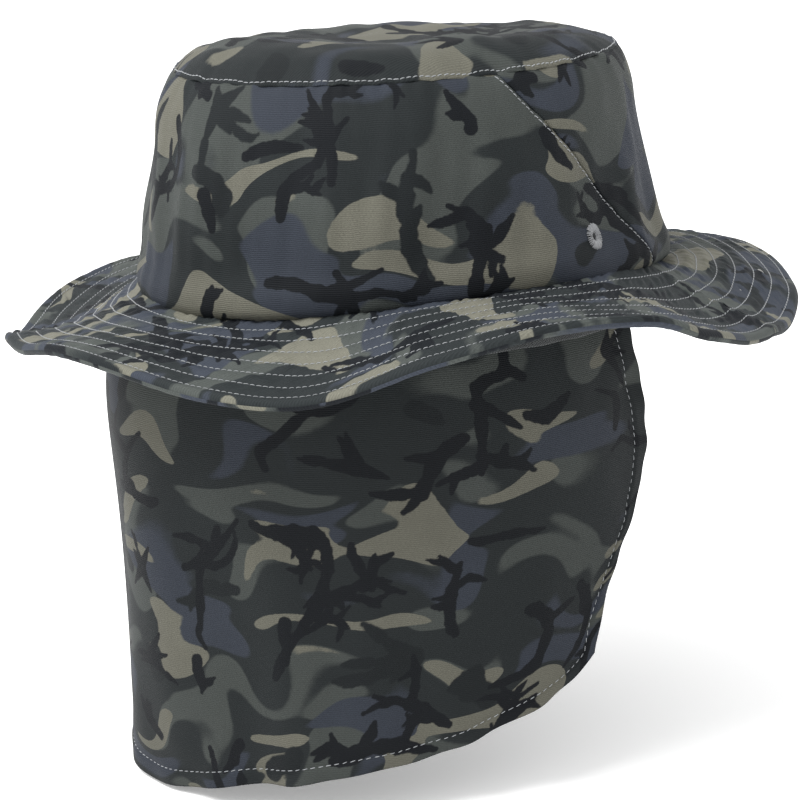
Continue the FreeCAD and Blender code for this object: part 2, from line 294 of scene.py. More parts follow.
def dome(turn, place, depth):
    """Point on the crown's tip: place 0 is the tip seam and 1 the middle."""
    share = place * (2 - place) * 0.35 + place * 0.65
    inwards = share * TIP_REACH
    rise = sum(np.interp(np.clip(share + k * 0.02, 0, 1), DOME[:, 0], DOME[:, 1]) for k in range(-3, 4)) / 7
    rise = rise * np.clip(share / 0.05, 0, 1) ** 0.5
    foot = oval(turn, -wall_inset(np.array(TIP_SEAM)), TIP_SEAM)
    spot = foot * np.stack([1 - share, 1 - share, 1 + 0 * share], -1)
    rise = rise * (DOME_MEAN + DOME_TILT * (spot[..., :2] @ np.array(DOME_SIDE)) / DOME_REACH)
    rise = rise + 0.9 * noise(spot, 60.0, 21) * np.clip(share / 0.2, 0, 1)
    rise = rise + 0.3 * noise(spot, 17.0, 23) * np.clip(share / 0.1, 0, 1)
    pucker = 0.3 * noise(foot, 8.0, 25) * np.exp(-inwards / 5.0)
    spot[..., 2] += rise + pucker - 0.6 * np.exp(-inwards / 0.9) - depth
    return spot


def smooth(stations, place):
    """Smooth curve through (place, value) stations."""
    at, value = stations[:, 0], stations[:, 1]
    slope = np.gradient(value, at)
    slope[1:-1] = (value[2:] - value[:-2]) / (at[2:] - at[:-2])
    i = np.clip(np.searchsorted(at, place, side="right") - 1, 0, len(at) - 2)
    span = at[i + 1] - at[i]
    t = (place - at[i]) / span
    return ((2 * t ** 3 - 3 * t ** 2 + 1) * value[i] + (t ** 3 - 2 * t ** 2 + t) * slope[i] * span
            + (3 * t ** 2 - 2 * t ** 3) * value[i + 1] + (t ** 3 - t ** 2) * slope[i + 1] * span)


def around_hat(stations, turn):
    """Smooth curve through (degrees, value) stations that closes round the hat."""
    closed = np.concatenate([stations + (-360, 0), stations, stations + (360, 0)])
    return smooth(closed, np.degrees(turn) % 360.0)


def row_phase(distance):
    """0 on a row of stitching, 1 midway between two rows."""
    along = (distance - FIRST_ROW) / ROW_PITCH
    between = 0.5 - 0.5 * np.cos(TURN * along)
    inside = (along > -0.75) & (along < ROWS - 1 + 0.5)
    return np.where(inside, between, 1.0)


def quilting(turn, distance):
    """How far the quilted cloth stands above the plain brim."""
    spot = oval(turn, distance, 0.0)[..., :2]
    slant = np.stack([turn * QUILT_RADIUS + distance * 0.9, distance * 0.35], -1)
    puff = row_phase(distance)
    lift = 0.55 * puff ** 0.7 - 0.35
    calm = np.clip((BRIM_WIDTH - distance) / 6.0, 0.25, 1)
    lift += 0.23 * noise(slant, 4.2, 31) * puff * calm
    lift += 0.13 * noise(spot, 9.0, 33) * puff * calm
    return lift


def brim(turn, distance, depth):
    """Point on the brim, without its quilting."""
    root, edge = (np.radians(around_hat(WAVES[:, (0, column)], turn)) for column in (1, 2))
    share = distance / BRIM_WIDTH
    slope = root + (edge - root) * share / 2
    level = seam_height(turn) + around_hat(ROOT_LIFT, turn)
    spot = oval(turn, BRIM_ROOT + distance * np.cos(slope), level - distance * np.sin(slope) - depth)
    limp = 0.3 * noise(spot, 46.0, 41) * np.clip(share, 0, 1) ** 1.3
    crease = 2.0 * np.exp(-np.abs(angle_off(turn, CREASE_TURN)) / 3.0) * np.clip(share, 0, 1)
    for seam in (-SIDE_SEAM_FOOT, SIDE_SEAM_FOOT):
        ridge = 0.8 * near(angle_off(turn, seam), 0.0, 1.6)
        crease += ridge * np.clip(share * 6, 0, 1) * np.clip((1 - share) * 5, 0, 1)
    spot[..., 2] += limp + crease
    return spot


def from_cape_edge(side, fall):
    """Distance along the cloth from the hem or a front edge, whichever is nearer."""
    return np.minimum((1 - fall) * CAPE_LENGTH * CAPE_DROP, (1 - np.abs(side)) * CAPE_REACH)


def hem_step(to_edge, size):
    """A size inside the turned hem, and nothing further in."""
    return size / (1 + np.exp((to_edge - HEM) / 0.5))


def cape(side, fall, depth):
    """Point on the cape: side -1 to 1 is its right to left edge, and fall 0 to 1 its sewn edge to its hem."""
    degrees = 180.0 - side * smooth(CAPE_SPAN, fall)
    turn = np.radians(degrees)
    top = seam_height(turn) - CAPE_TOP
    below = (top + smooth(CAPE_HEM, np.abs(side))) * fall
    height = top - below
    loose = 1 - np.exp(-below / CAPE_FLARE_DEPTH)
    bulge = near(degrees, CAPE_BULGE_TURN, CAPE_BULGE_WIDTH) * near(below, 0, CAPE_BULGE_DEPTH)
    flare = (CAPE_FLARE + CAPE_BULGE * bulge) * loose + CAPE_LEAN * below
    spot = oval(turn, 0.0, height)
    to_edge = from_cape_edge(side, fall)
    hanging = spot * np.array([1.0, 1.0, 0.22])
    folds = 1.5 * noise(hanging, 62.0, 51) * fall ** 0.8 + 0.9 * noise(hanging, 30.0, 53) * fall
    folds += 1.5 * noise(hanging, 15.0, 55) * np.exp(-below / 22.0) * np.clip((np.abs(side) - 0.55) * 4, 0, 1)
    ripple = 0.6 * noise(spot, 17.0, 57) * np.exp(-to_edge / 9.0)
    hem_roll = hem_step(to_edge, 0.5) - 0.45 * near(to_edge, HEM, 0.8)
    return oval(turn, flare + folds + ripple + hem_roll - depth, height)


# ---------------------------------------------------------------- print on the cloth
def twigs(low, high, seed, spacing=30.0, thick=1.0):
    """Capsules (x, y, radius to x, y, radius) of branching dark strokes over a piece of cloth."""
    rng = np.random.default_rng(seed)
    strokes = []
    step = 3.0

    def branch(spot, heading, length, radius, depth):
        steps = max(2, int(length / step))
        bend = rng.normal(0, 0.10)
        before = radius * (0.8 if depth == 0 else 1.15)
        for k in range(steps):
            bend = 0.7 * bend + rng.normal(0, 0.11)
            heading += bend + (rng.choice([-1, 1]) * rng.uniform(0.4, 0.9) if rng.random() < 0.12 else 0)
            after = spot + step * np.array([math.cos(heading), math.sin(heading)])
            left = 1 - (k + 1) / steps
            width = radius * min(1.0, 0.42 + 1.5 * left) * rng.uniform(0.8, 1.22)
            if depth < 2 and 0 < k < steps - 1 and rng.random() < 0.26:
                side = rng.choice([-1, 1]) * rng.uniform(0.7, 1.35)
                shorter = max(6.0, length * rng.uniform(0.22, 0.5))
                thinner = radius * rng.uniform(0.7, 0.95)
                branch(after, heading + side, shorter, thinner, depth + 1)
                width *= 1.3
            strokes.append((*spot, before, *after, width))
            spot, before = after, width

    def star(spot, size):
        """Spiky leaf shape."""
        for heading in rng.uniform(0, TURN, rng.integers(4, 7)):
            arm = size * rng.uniform(0.5, 1.4)
            bent = heading + rng.normal(0, 0.25)
            tip = spot + arm * np.array([math.cos(bent), math.sin(bent)])
            strokes.append((*spot, size * 0.33, *tip, size * 0.07))
            if rng.random() < 0.5:
                branch(tip, bent, size * 0.9, size * 0.14, 2)

    for x in np.arange(low[0], high[0] + spacing, spacing):
        for y in np.arange(low[1], high[1] + spacing, spacing):
            spot = np.array([x, y]) + rng.uniform(-0.42, 0.42, 2) * spacing
            heading = rng.choice([0.35, -0.5, 2.8, 1.5, -1.2]) + rng.normal(0, 0.45)
            kind = rng.random()
            if kind < 0.52:
                branch(spot, heading, rng.uniform(20, 56), thick * rng.uniform(1.5, 2.4), 0)
            elif kind < 0.62:
                star(spot, thick * rng.uniform(7, 11))
            elif kind < 0.88:
                branch(spot, heading, rng.uniform(8, 17), thick * rng.uniform(2.0, 3.0), 1)
    return np.array(strokes)


def stroke_field(flat, strokes):
    """Signed distance in millimetres, positive inside a stroke and never under -far."""
    far = 4.0
    points = flat.reshape(-1, 2)
    best = np.full(len(points), -far)
    for x0, y0, r0, x1, y1, r1 in strokes:
        reach = max(r0, r1) + far
        inside = ((points[:, 0] > min(x0, x1) - reach) & (points[:, 0] < max(x0, x1) + reach)
                  & (points[:, 1] > min(y0, y1) - reach) & (points[:, 1] < max(y0, y1) + reach))
        index = np.nonzero(inside)[0]
        if not len(index):
            continue
        p = points[index]
        a, d = np.array([x0, y0]), np.array([x1 - x0, y1 - y0])
        t = np.clip((p - a) @ d / (d @ d), 0, 1)
        gap = np.linalg.norm(p - a - t[:, None] * d, axis=1)
        best[index] = np.maximum(best[index], r0 + (r1 - r0) * t - gap)
    return best.reshape(flat.shape[:-1])


def print_fields(flat, seed, bare=0.0):
    """The camouflage's layers as fields in millimetres, positive where a layer is printed.

    bare leaves more of the charcoal ground.
    """
    low, high = flat.reshape(-1, 2).min(0), flat.reshape(-1, 2).max(0)
    warp = np.stack([noise(flat, 45.0, seed + 1), noise(flat, 45.0, seed + 2)], -1) * 5.0
    bent = flat + warp
    tongues = noise(bent * np.array([0.38, 1.3]), 23.0, seed + 3)
    return {
        "twig": stroke_field(flat, twigs(low - 20, high + 20, seed)),
        "shadow": stroke_field(flat, twigs(low - 20, high + 20, seed + 50, spacing=52.0, thick=1.5)),
        "khaki": (noise(bent, 56.0, seed + 4) + 0.75 * tongues - 1.1 - 0.4 * bare) * 8.0,
        "slate": (noise(bent, 52.0, seed + 5) - 0.6 * tongues - 0.8 - 0.5 * bare) * 8.0,
        "ash": (noise(bent, 46.0, seed + 6) + 0.5 * tongues - 0.1 - bare) * 8.0,
    }


# ---------------------------------------------------------------- meshes
def mesh_object(name, points, faces, flat=None, fields=None):
    """Mesh in metres from points in millimetres; flat is each corner's place on the flat cloth."""
    mesh = bpy.data.meshes.new(name)
    mesh.from_pydata((points * MM).tolist(), [], faces.tolist() if hasattr(faces, "tolist") else faces)
    if flat is not None:
        layer = mesh.uv_layers.new(name="cloth")
        layer.data.foreach_set("uv", np.asarray(flat, np.float32).ravel())
    for field, values in (fields or {}).items():
        attribute = mesh.attributes.new(field, "FLOAT", "POINT")
        attribute.data.foreach_set("value", values.astype(np.float32).ravel())
    mesh.polygons.foreach_set("use_smooth", [True] * len(mesh.polygons))
    mesh.update()
    thing = bpy.data.objects.new(name, mesh)
    bpy.context.collection.objects.link(thing)
    return thing


def grid_normals(points, closed=False):
    """Unit normals of a grid of points, on the side that du x dv gives."""
    if closed:
        du = np.roll(points, -1, 0) - np.roll(points, 1, 0)
    else:
        du = np.gradient(points, axis=0)
    dv = np.gradient(points, axis=1)
    return unit(np.cross(du, dv))


def cloth(name, outer, thickness, flat, fields=None, closed=False, flip=False, hole=None):
    """Closed solid of cloth under a grid of points, with its show side out.

    A closed grid's flat has one more row than its points. fields are values at the points, and hole is
    (centres, radius), cut through the cloth.
    """
    sign = -1.0 if flip else 1.0
    inner = outer - grid_normals(outer, closed) * sign * np.asarray(thickness)[..., None]
    count_u, count_v = outer.shape[:2]
    total = count_u * count_v
    last_u = count_u if closed else count_u - 1
    i, j = [k.ravel() for k in np.meshgrid(np.arange(last_u), np.arange(count_v - 1), indexing="ij")]
    corners = np.stack([np.stack(c, 1) for c in ((i, j), (i + 1, j), (i + 1, j + 1), (i, j + 1))], 1)
    edges = []
    points = np.concatenate([outer.reshape(-1, 3), inner.reshape(-1, 3)])

    def index(places):
        return (places[..., 0] % count_u) * count_v + places[..., 1]

    if hole is not None:
        centres, radius = hole
        middle = points[index(corners)].mean(1)
        cut = np.min([np.linalg.norm(middle - centre, axis=1) for centre in centres], axis=0) < radius
        loops = np.stack([corners, np.roll(corners, -1, 1)], 2)
        kept = {tuple(e) for e in index(loops[~cut]).reshape(-1, 2).tolist()}
        for pair, key in zip(loops[cut].reshape(-1, 2, 2), index(loops[cut]).reshape(-1, 2).tolist()):
            if (key[1], key[0]) in kept:
                edges.append(pair[::-1])
        rim = np.unique(index(np.array(edges)))
        for shift in (0, total):
            arms = [points[rim + shift] - centre for centre in centres]
            for centre, arm in zip(centres, arms):
                gap = np.linalg.norm(arm, axis=1)
                close = gap < 2 * radius
                points[(rim + shift)[close]] = centre + arm[close] * (radius / gap[close])[:, None]
        corners = corners[~cut]
    around, along = np.arange(last_u + 1), np.arange(count_v)
    lines = [np.stack([around, 0 * around], 1), np.stack([around, 0 * around + count_v - 1], 1)[::-1]]
    if not closed:
        lines += [np.stack([0 * along, along], 1)[::-1], np.stack([0 * along + count_u - 1, along], 1)]
    sides = np.concatenate([np.stack([line[:-1], line[1:]], 1) for line in lines])
    if edges:
        sides = np.concatenate([sides, np.array(edges)])
    top, bottom = index(corners), index(corners)[:, ::-1] + total
    start, end = index(sides[:, 0]), index(sides[:, 1])
    walls = np.stack([end, start, start + total, end + total], 1)
    faces = np.concatenate([top, bottom, walls])
    places = np.concatenate([corners, corners[:, ::-1], sides[:, [1, 0, 0, 1]]])
    if flip:
        faces, places = faces[:, ::-1], places[:, ::-1]
    layers = {key: np.concatenate([values.ravel()] * 2) for key, values in (fields or {}).items()}
    return mesh_object(name, points, faces, flat[places[..., 0], places[..., 1]], layers)


def spread(start, end, count):
    return np.linspace(start, end, count)


def grid(u, v):
    """Two arrays of every u with every v."""
    return np.meshgrid(u, v, indexing="ij")


def tubes(name, paths, sideways, upward, radii, sides=8):
    """Many short threads in one mesh: paths is (threads, places, 3), and radii is (threads, places)."""
    threads, places = paths.shape[:2]
    squash = 0.8
    phase = np.arange(sides) * TURN / sides
    ring = (paths[:, :, None] + sideways[:, :, None] * (radii[..., None] * np.cos(phase))[..., None]
            + upward[:, :, None] * (radii[..., None] * np.sin(phase))[..., None] * squash)
    points = ring.reshape(-1, 3)
    base = (np.arange(threads) * places * sides)[:, None, None]
    k, m = np.meshgrid(np.arange(places - 1), np.arange(sides), indexing="ij")
    quads = np.stack([k * sides + m, k * sides + (m + 1) % sides,
                      (k + 1) * sides + (m + 1) % sides, (k + 1) * sides + m], -1).reshape(1, -1, 4)
    quads = (quads + base).reshape(-1, 4)
    first = np.arange(sides)[::-1][None] + base[:, 0]
    last = (places - 1) * sides + np.arange(sides)[None] + base[:, 0]
    thing = mesh_object(name, points, quads.tolist() + first.tolist() + last.tolist())
    along = np.repeat(np.arange(threads), places * sides) * 0.37 % 1.0
    attribute = thing.data.attributes.new("tone", "FLOAT", "POINT")
    attribute.data.foreach_set("value", along.astype(np.float32))
    return thing


def stitches(name, line, normals, pitch=2.2, dash=2.1, radius=0.2, closed=False, seed=0):
    """Row of lockstitches along a dense line on the cloth: each dives into it at both ends."""
    rng = np.random.default_rng(STITCH_SEED + seed)
    if closed:
        line, normals = np.concatenate([line, line[:1]]), np.concatenate([normals, normals[:1]])
    along = np.concatenate([[0], np.cumsum(np.linalg.norm(np.diff(line, axis=0), axis=1))])
    count = int(along[-1] / pitch)
    middle = (np.arange(count) + 0.5) * along[-1] / count + rng.normal(0, 0.07, count)
    u = spread(-1, 1, 7)
    half = dash / 2 * rng.uniform(0.88, 1.08, count)
    place = middle[:, None] + u * half[:, None]

    def at(values, where):
        return np.stack([np.interp(where, along, values[:, k]) for k in range(3)], -1)

    up = unit(at(normals, place))
    forward = unit(at(line, place + 0.3) - at(line, place - 0.3))
    side = np.cross(up, forward)
    lift = radius * (0.75 - 1.9 * np.abs(u) ** 3)
    skew = (0.12 + rng.normal(0, 0.07, (count, 1))) * u
    paths = at(line, place) + up * lift[None, :, None] + side * skew[..., None]
    radii = np.broadcast_to(radius * (1 - 0.45 * np.abs(u) ** 3), place.shape)
    return tubes(name, paths, side, up, radii)


def finish_piece(thing, material, slot, body, *nodes):
    """Give a piece its material, hide the CAD nodes it stands for, and attach it to the body it rides on, if
    one.
    """
    thing.data.materials.append(material)
    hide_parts(*nodes)
    if body:
        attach(thing, body)
    return thing


# ---------------------------------------------------------------- materials
def new_material(name):
    material = bpy.data.materials.new(name)
    material.use_nodes = True
    tree = material.node_tree
    tree.nodes.clear()
    shader = tree.nodes.new("ShaderNodeBsdfPrincipled")
    output = tree.nodes.new("ShaderNodeOutputMaterial")
    tree.links.new(shader.outputs["BSDF"], output.inputs["Surface"])
    return material, tree, shader


class Wires:
    """Short words for building a node tree."""

    def __init__(self, tree):
        self.tree = tree

    def node(self, kind, **settings):
        made = self.tree.nodes.new(kind)
        for key, value in settings.items():
            setattr(made, key, value)
        return made

    def put(self, socket, value):
        if isinstance(value, bpy.types.NodeSocket):
            self.tree.links.new(value, socket)
        else:
            socket.default_value = value

    def sum(self, kind, a, b=0.0, c=0.0, clamp=False):
        made = self.node("ShaderNodeMath", operation=kind, use_clamp=clamp)
        for socket, value in zip(made.inputs, (a, b, c)):
            self.put(socket, value)
        return made.outputs[0]

    def field(self, name):
        return self.node("ShaderNodeAttribute", attribute_name=name).outputs["Fac"]

    def flat(self):
        return self.node("ShaderNodeUVMap", uv_map="cloth").outputs["UV"]

    def noise(self, where, scale, detail=2.0, rough=0.5, stretch=None):
        if stretch:
            mapped = self.node("ShaderNodeMapping")
            self.put(mapped.inputs["Vector"], where)
            mapped.inputs["Scale"].default_value = stretch
            where = mapped.outputs[0]
        made = self.node("ShaderNodeTexNoise")
        self.put(made.inputs["Vector"], where)
        made.inputs["Scale"].default_value = scale
        made.inputs["Detail"].default_value = detail
        made.inputs["Roughness"].default_value = rough
        return made.outputs["Fac"]

    def step(self, value, width):
        """0 below -width, 1 above width."""
        made = self.node("ShaderNodeMapRange", interpolation_type="SMOOTHSTEP")
        self.put(made.inputs["Value"], value)
        made.inputs["From Min"].default_value = -width
        made.inputs["From Max"].default_value = width
        return made.outputs["Result"]

    def bump(self, shader, height, strength, distance):
        made = self.node("ShaderNodeBump")
        made.inputs["Strength"].default_value = strength
        made.inputs["Distance"].default_value = distance
        self.put(made.inputs["Height"], height)
        self.put(shader.inputs["Normal"], made.outputs["Normal"])

    def mix(self, share, a, b, kind="MIX"):
        made = self.node("ShaderNodeMix", data_type="RGBA", blend_type=kind)
        self.put(made.inputs["Factor"], share)
        self.put(made.inputs["A"], a)
        self.put(made.inputs["B"], b)
        return made.outputs["Result"]


# the print's colours, from its ground to its darkest strokes
CHARCOAL = (0.0135, 0.0162, 0.0170, 1)
ASH = (0.042, 0.047, 0.044, 1)
SLATE = (0.026, 0.0305, 0.040, 1)
KHAKI = (0.100, 0.098, 0.079, 1)
SHADOW = (0.0095, 0.0115, 0.0125, 1)
TWIG = (0.0055, 0.0066, 0.0082, 1)


def printed_cloth(name, painted_light=1.0, fuzz=0.5):
    """Printed cloth with a fine crosswise rib, slightly satin."""
    material, tree, shader = new_material(name)
    w = Wires(tree)
    flat = w.flat()
    ragged = w.sum("MULTIPLY", w.sum("SUBTRACT", w.noise(flat, 0.45, 2.0), 0.5), 1.1)
    fine = w.sum("MULTIPLY", w.sum("SUBTRACT", w.noise(flat, 2.4, 2.0), 0.5), 0.5)
    ragged = w.sum("ADD", ragged, fine)
    colour = CHARCOAL
    layers = (("ash", ASH, 1.5), ("slate", SLATE, 1.7), ("khaki", KHAKI, 0.4), ("shadow", SHADOW, 0.45),
              ("twig", TWIG, 0.28))
    for field, tint, softness in layers:
        covered = w.step(w.sum("ADD", w.field(field), ragged), softness)
        colour = w.mix(covered, colour, tint)
    worn = w.noise(flat, 0.035, 3.0, 0.6)
    # painted_light scales the print's colour as painted light and shade: the same cloth is made lighter where
    # it is lit more (the brim) and darker where it lies in shade (the cape under the brim). worn is random
    # tone.
    shade = w.sum("MULTIPLY_ADD", worn, 0.30, 0.85 * painted_light)
    pick = w.noise(flat, 3.1, 1.0, stretch=(0.45, 1.6, 1))
    shade = w.sum("MULTIPLY", shade, w.sum("MULTIPLY_ADD", pick, 0.8, 0.6))
    apart = w.node("ShaderNodeSeparateXYZ")
    w.put(apart.inputs[0], flat)
    bend = w.sum("MULTIPLY", w.noise(flat, 0.09, 1.0), 1.2)
    wave = w.sum("SINE", w.sum("MULTIPLY", w.sum("ADD", apart.outputs["Y"], bend), TURN / RIB_PITCH))
    shade = w.sum("MULTIPLY", shade, w.sum("MULTIPLY_ADD", wave, 0.09, 1.0))
    warp = w.sum("SINE", w.sum("MULTIPLY", apart.outputs["X"], TURN / WARP_PITCH))
    colour = w.mix(1.0, colour, shade, "MULTIPLY")
    w.put(shader.inputs["Base Color"], colour)
    w.put(shader.inputs["Roughness"], w.sum("MULTIPLY_ADD", pick, 0.22, 0.50))
    shader.inputs["Specular IOR Level"].default_value = 0.09
    shader.inputs["Sheen Weight"].default_value = 0.02 * fuzz
    shader.inputs["Sheen Roughness"].default_value = 0.45
    shader.inputs["Sheen Tint"].default_value = (0.85, 0.9, 1.0, 1)
    height = w.sum("ADD", w.sum("MULTIPLY", wave, 0.4), w.sum("MULTIPLY", warp, 0.18))
    height = w.sum("ADD", height, w.sum("MULTIPLY", w.noise(flat, 1.7, 3.0), 0.9))
    w.bump(shader, height, strength=0.45, distance=0.00022)
    return material


def woven(name, colour, thread=0.9, roughness=0.8, sheen=0.2):
    """Plain woven or brushed cloth of one colour, with two directions of yarn."""
    material, tree, shader = new_material(name)
    w = Wires(tree)
    flat = w.flat()
    apart = w.node("ShaderNodeSeparateXYZ")
    w.put(apart.inputs[0], flat)
    waves = [w.sum("SINE", w.sum("MULTIPLY", apart.outputs[axis], TURN / thread)) for axis in "XY"]
    weave = w.sum("MULTIPLY", waves[0], waves[1])
    tone = w.sum("MULTIPLY_ADD", w.noise(flat, 0.12, 4.0, 0.6), 0.5, 0.72)
    tone = w.sum("MULTIPLY", tone, w.sum("MULTIPLY_ADD", weave, 0.13, 1.0))
    w.put(shader.inputs["Base Color"], w.mix(1.0, (*colour, 1), tone, "MULTIPLY"))
    w.put(shader.inputs["Roughness"], w.sum("MULTIPLY_ADD", w.noise(flat, 1.3), 0.2, roughness - 0.1))
    shader.inputs["Sheen Weight"].default_value = sheen
    w.bump(shader, w.sum("ADD", weave, w.noise(flat, 2.1, 3.0)), strength=0.6, distance=0.0002)
    return material


def sewing_thread(name, colour):
    """Twisted thread: a slanting ply in colour and bump, and a tone of its own for each stitch."""
    material, tree, shader = new_material(name)
    w = Wires(tree)
    where = w.node("ShaderNodeTexCoord").outputs["Object"]
    ply = w.node("ShaderNodeTexWave", bands_direction="DIAGONAL")
    w.put(ply.inputs["Vector"], where)
    ply.inputs["Scale"].default_value = 900.0
    ply.inputs["Distortion"].default_value = 1.2
    tone = w.sum("MULTIPLY_ADD", w.field("tone"), 0.25, 0.78)
    tone = w.sum("MULTIPLY", tone, w.sum("MULTIPLY_ADD", ply.outputs["Fac"], 0.22, 0.86))
    w.put(shader.inputs["Base Color"], w.mix(1.0, (*colour, 1), tone, "MULTIPLY"))
    w.put(shader.inputs["Roughness"], w.sum("MULTIPLY_ADD", ply.outputs["Fac"], 0.15, 0.5))
    shader.inputs["Sheen Weight"].default_value = 0.15
    w.bump(shader, ply.outputs["Fac"], strength=0.5, distance=0.00008)
    return material


# ---------------------------------------------------------------- pieces
def eyelet_place(side):
    """Centre on the cloth's face, and unit vectors out, sideways and up of an eyelet."""
    turn = np.array([math.radians(EYELET_TURN) * SIDES[side]])
    rise = (EYELET_HEIGHT - seam_height(turn)) / (TIP_SEAM - seam_height(turn))
    step = 0.01
    centre = wall(turn, rise, 0)[0]
    sideways = wall(turn + step, rise, 0)[0] - wall(turn - step, rise, 0)[0]
    up = wall(turn, rise + step, 0)[0] - wall(turn, rise - step, 0)[0]
    out, sideways = unit(np.cross(sideways, up)), unit(sideways)
    return centre, out, sideways, np.cross(out, sideways)


def make_crown(materials):
    rise = spread(-CROWN_TUCK, 1, 120)
    side, up = grid(spread(-1, 1, 330), rise)
    turn = side * side_seam(up)
    points = wall(turn, up, 0)
    flat = np.stack([turn * PRINT_RADIUS, points[..., 2]], -1)
    front = cloth("crown_front", points, CLOTH, flat, print_fields(flat, 100))
    finish_piece(front, materials["crown"], "crown_cloth", "root", "crown_front_panel")

    side, up = grid(spread(-1, 1, 620), rise)
    turn = math.pi - side * (math.pi - side_seam(up))
    points = wall(turn, up, 0)
    flat = np.stack([(turn - math.pi) * PRINT_RADIUS, points[..., 2]], -1)
    fields = print_fields(flat, 200)
    holes = [eyelet_place(name)[0] for name in SIDES]
    back = cloth("crown_back", points, CLOTH, flat, fields, flip=True, hole=(holes, EYELET_HOLE + 0.5))
    finish_piece(back, materials["crown"], "crown_cloth", "root", "crown_back_panel")

    u, v = grid(spread(-1, 1, 290), spread(-1, 1, 260))
    x, y = u * np.sqrt(1 - v ** 2 / 2), v * np.sqrt(1 - u ** 2 / 2)
    place = 1 - np.clip(np.hypot(x, y), 0, 1)
    points = dome(np.arctan2(y, x), place, 0)
    tip = cloth("crown_top", points, CLOTH, points[..., :2], print_fields(points[..., :2], 300))
    finish_piece(tip, materials["crown"], "crown_cloth", "root", "crown_tip")


def wall_line(turn, rise):
    """Line on the crown's wall and its outward normals."""
    step = 0.004
    points = wall(turn, rise, 0)
    along = wall(turn + step, rise, 0) - wall(turn - step, rise, 0)
    up = wall(turn, rise + step, 0) - wall(turn, rise - step, 0)
    return points, unit(np.cross(along, up))


def make_crown_stitching(materials):
    turn = spread(0, TURN, 1400)[:-1]
    place = np.full_like(turn, TIP_STITCH_PLACE)
    points = dome(turn, place, 0)
    inward = dome(turn, place + 0.004, 0) - points
    along = np.roll(points, -1, 0) - np.roll(points, 1, 0)
    row = stitches("tip_topstitches", points, unit(np.cross(along, inward)), closed=True, seed=1)
    finish_piece(row, materials["thread"], "thread", "root", "tip_topstitch")
    for side, sign in SIDES.items():
        rise = spread(0.012, 0.985, 260)
        turn = sign * (side_seam(rise) + TOPSTITCH_GAP / WALL_RADIUS)
        points, normal = wall_line(turn, rise)
        row = stitches("side_topstitches_" + side, points, normal, seed=2)
        finish_piece(row, materials["thread"], "thread", "root", "side_topstitch_" + side)


def make_tapes(materials):
    around = spread(0, TURN, 481)
    turn, up = grid(around[:-1], spread(1 - TAPE_WIDTH / TIP_SEAM, 0.985, 12))
    uneven = 0.25 * noise(oval(turn, 0, up * WALL_HEIGHT), 14, 71)
    points = wall(turn, up, TAPE_DEPTH) + outward(turn) * uneven[..., None]
    flat = np.stack(grid(around * PRINT_RADIUS, up[0] * TIP_SEAM), -1)
    tape = cloth("tip_tape", points, TAPE_THICK, flat, closed=True)
    finish_piece(tape, materials["tape"], "seam_tape", "root", "tip_seam_tape")
    for side, sign in SIDES.items():
        across, up = grid(spread(-0.5, 0.5, 15), spread(0.03, 0.84, 90))
        turn = sign * (side_seam(up) + across * TAPE_WIDTH / TAPE_RADIUS)
        points = wall(turn, up, TAPE_DEPTH)
        flat = np.stack([across * TAPE_WIDTH, up * TIP_SEAM], -1)
        tape = cloth("side_tape_" + side, points, TAPE_THICK, flat, flip=sign < 0)
        finish_piece(tape, materials["tape"], "seam_tape", "root", "side_seam_tape_" + side)


def make_sweatband(materials):
    around = spread(0, TURN, 541)
    turn, up = grid(around[:-1], spread(0.0, 1.0, 30))
    rise = up * BAND_HEIGHT / TIP_SEAM
    belly = 0.7 * np.sin(math.pi * up) + 0.25 * noise(oval(turn, 0, up * 30), 22, 73) * up
    points = wall(turn, rise, 0) - outward(turn) * (BAND_DEPTH + 0.3 + belly)[..., None]
    flat = np.stack(grid(around * BAND_RADIUS, up[0] * BAND_HEIGHT), -1)
    band = cloth("sweat_band", points, BAND_THICK, flat, closed=True)
    finish_piece(band, materials["band"], "sweatband_cloth", "root", "sweatband")


def make_eyelets(materials):
    """Threads that run out of each hole, over its rim and back into the cloth, on both faces of it."""
    strands = 40
    for side in SIDES:
        centre, out, sideways, up = eyelet_place(side)
        rng = np.random.default_rng(61)
        angle = (np.arange(strands) + rng.uniform(-0.12, 0.12, strands)) * TURN / strands
        arm = EYELET_WIDE * np.cos(angle)[:, None] * sideways + EYELET_TALL * np.sin(angle)[:, None] * up

        # each thread's points: how far out from the middle, and how high above the cloth
        reach = np.array([1.55, 1.5, 1.6, 2.0, 2.7, 3.4, 3.9, 4.2, 4.3])
        lift = np.array([-1.0, -0.3, 0.35, 0.62, 0.66, 0.6, 0.46, 0.15, -0.3])

        longer = rng.uniform(0.94, 1.05, strands)[:, None]
        distance = np.where(reach > 2, reach * longer, reach)
        front = centre + arm[:, None] * distance[..., None] + out * lift[None, :, None]
        back = centre + arm[:, None] * (distance * 0.9)[..., None] - out * (lift[None, :, None] + CLOTH)
        paths = np.concatenate([front, back])
        tangent = np.gradient(paths, axis=1)
        around = np.cross(out, np.concatenate([arm, arm]))[:, None] + 0 * paths
        lifted = unit(np.cross(tangent, around))
        radii = np.broadcast_to(0.13 + 0.055 * reach, paths.shape[:2])
        eyelet = tubes("eyelet_threads_" + side, paths, around, lifted, np.minimum(radii, 0.3), sides=6)
        finish_piece(eyelet, materials["eyelet"], "thread", "root", "eyelet_" + side)


def brim_section(rows):
    """Distance out and depth along a brim ply, from the crown to the middle of the rolled edge."""
    arc = EDGE_ROLL * math.pi / 2
    along = spread(0, BRIM_WIDTH - EDGE_ROLL + arc, rows)
    flat_part = np.minimum(along, BRIM_WIDTH - EDGE_ROLL)
    swing = (along - flat_part) / EDGE_ROLL
    flat_part = flat_part - BRIM_TUCK * np.exp(-along / 2.5)
    return flat_part + EDGE_ROLL * np.sin(swing), EDGE_ROLL * (1 - np.cos(swing))


